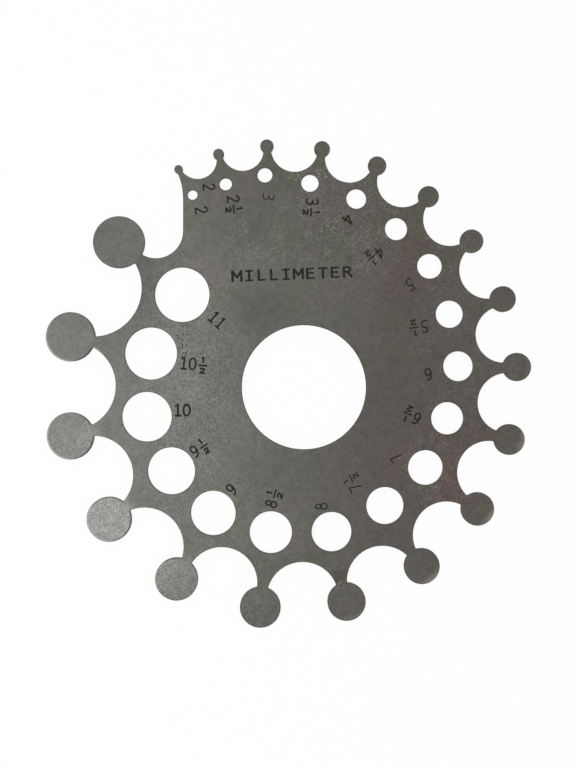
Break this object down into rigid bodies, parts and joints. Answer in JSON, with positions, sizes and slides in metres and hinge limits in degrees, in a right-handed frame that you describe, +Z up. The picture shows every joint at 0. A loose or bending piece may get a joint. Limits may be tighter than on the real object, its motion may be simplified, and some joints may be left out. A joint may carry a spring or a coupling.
{
  "type": "gemstone size gauge",
  "caption": "Flat steel plate gauge with graduated round discs on necks at its rim, matching round holes inside them and a large central bore.",
  "frame": {"origin": "on the axis of the central bore, at the plate's underside", "axes": "+Z up through the plate along the bore, +Y towards the top of the plate as it is read, +X to its right"},
  "size_m": [0.0975, 0.0981, 0.001],
  "materials": {
    "plate": "dull rolled sheet steel, satin, darkened a little with age"
  },
  "bodies": {
    "root": {"gauge_plate": "plate"}
  },
  "joints": []
}
